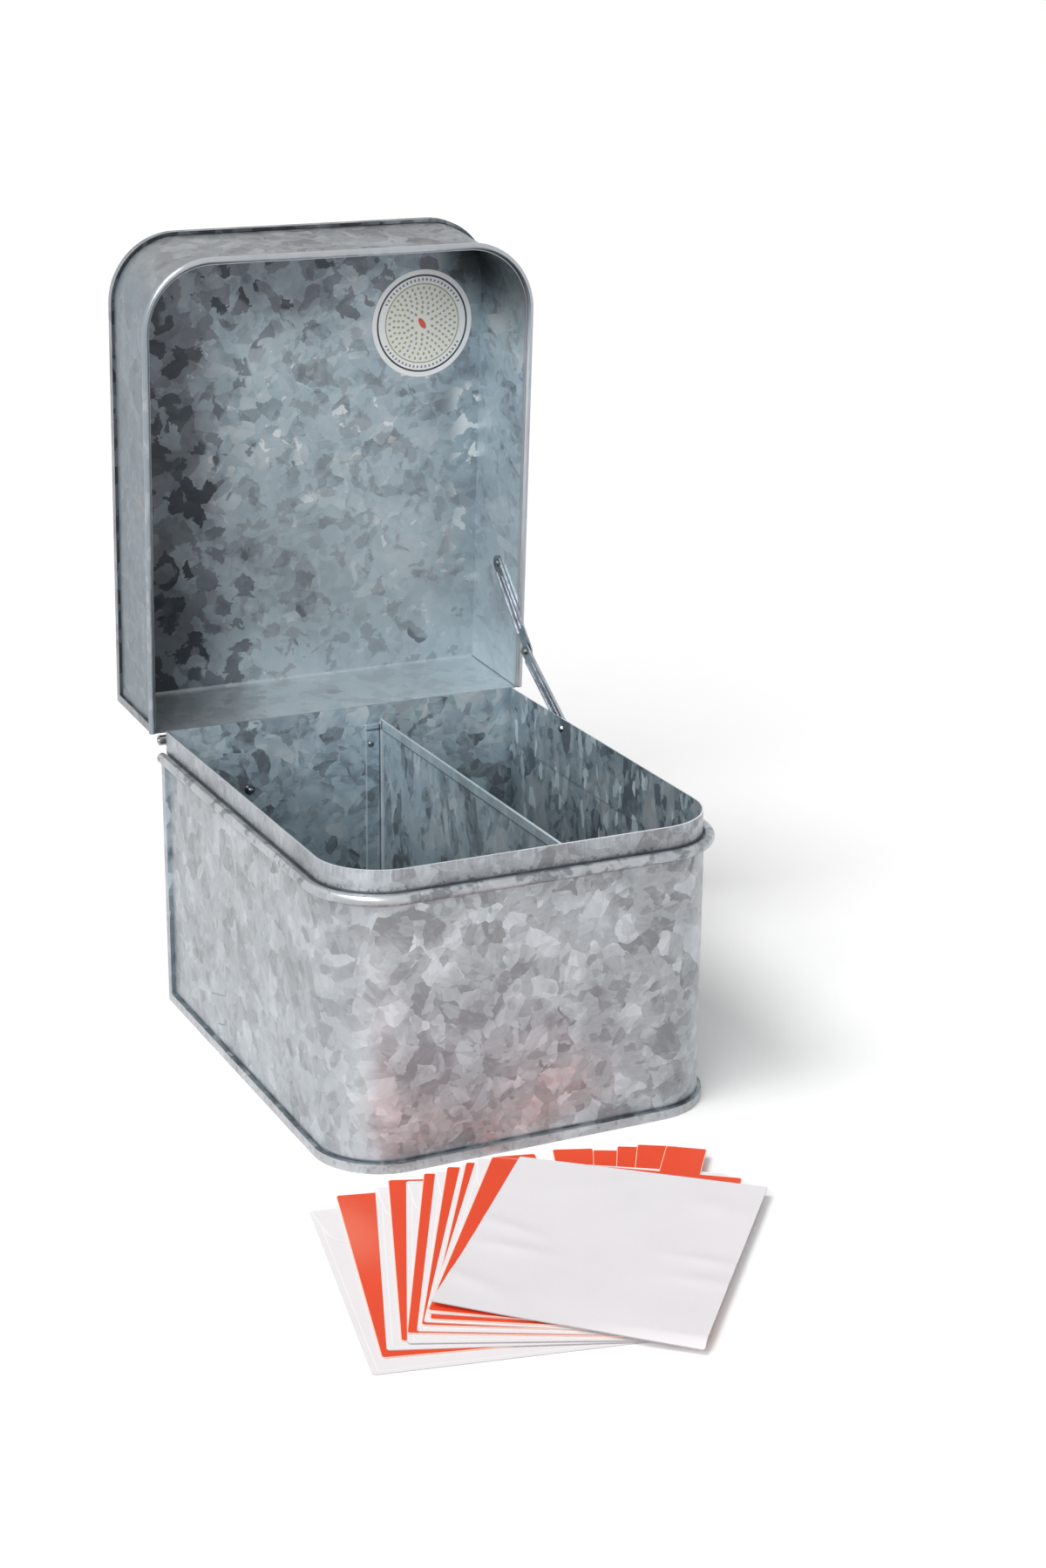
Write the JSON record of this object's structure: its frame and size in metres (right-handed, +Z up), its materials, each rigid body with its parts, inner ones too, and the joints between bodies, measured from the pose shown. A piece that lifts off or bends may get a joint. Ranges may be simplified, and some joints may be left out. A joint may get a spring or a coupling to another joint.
{
  "type": "garden seed organizer box",
  "caption": "Galvanized sheet-steel storage box with a hinged lid held open by a folding stay, an off-centre divider, and a fan of seed envelopes and tabbed index cards lying in front.",
  "frame": {"origin": "the middle of the box's width, halfway between the neck's front and the back panel's outer face, on the plane the box rests on", "axes": "+Z up; -Y is the front, where the fan of cards lies; +Y is the hinged back; +X is the right side, with the lid stay"},
  "size_m": [0.2373, 0.4614, 0.3627],
  "materials": {
    "galvanized_sheet": "satin",
    "zinc_hardware": "satin",
    "rivets": "polished",
    "label_paper": "matte",
    "envelope_paper": "matte",
    "index_card_stock": "matte"
  },
  "bodies": {
    "base": {"base_wall": "galvanized_sheet", "neck_collar": "galvanized_sheet", "base_tray": "galvanized_sheet", "divider": "galvanized_sheet", "divider_rivets": "rivets", "hinge_base_leaf": "zinc_hardware", "hinge_pin": "zinc_hardware", "hinge_pop_rivets": "rivets", "stay_neck_rivet": "rivets"},
    "lid": {"lid_wall": "galvanized_sheet", "lid_tray": "galvanized_sheet", "lid_label": "label_paper", "hinge_lid_leaf": "zinc_hardware", "stay_lid_rivet": "rivets"},
    "stay_lower": {"stay_lower_link": "zinc_hardware", "stay_knee_rivet": "rivets"},
    "stay_upper": {"stay_upper_link": "zinc_hardware"},
    "card_fan": {"seed_envelope_1": "envelope_paper", "index_card_1": "index_card_stock", "seed_envelope_2": "envelope_paper", "index_card_2": "index_card_stock", "seed_envelope_3": "envelope_paper", "index_card_3": "index_card_stock", "seed_envelope_4": "envelope_paper", "index_card_4": "index_card_stock", "seed_envelope_5": "envelope_paper", "index_card_5": "index_card_stock", "seed_envelope_6": "envelope_paper", "index_card_6": "index_card_stock", "seed_envelope_7": "envelope_paper"}
  },
  "joints": [
    {"name": "lid_hinge", "type": "hinge", "parent": "base", "child": "lid", "pos_m": [0, 0.114, 0.1302], "axis": [1, 0, 0], "range_deg": [0, 87.2]},
    {"name": "stay_neck_pivot", "type": "hinge", "parent": "base", "child": "stay_lower", "pos_m": [0.0914, 0.0515, 0.1306], "axis": [-1, 0, 0], "range_deg": [0, 20.28]},
    {"name": "stay_lid_pivot", "type": "hinge", "parent": "lid", "child": "stay_upper", "pos_m": [0.093, 0.13192, 0.19365], "axis": [1, 0, 0], "range_deg": [0, 36.88]},
    {"name": "card_fan_lift", "type": "slide", "parent": "base", "child": "card_fan", "axis": [0, 0, 1], "range_m": [0, 0.15]}
  ],
  "couplings": [
    {"joint": "stay_neck_pivot", "follows": "lid_hinge", "ratio": 0.23253},
    {"joint": "stay_lid_pivot", "follows": "lid_hinge", "ratio": 0.42297}
  ]
}
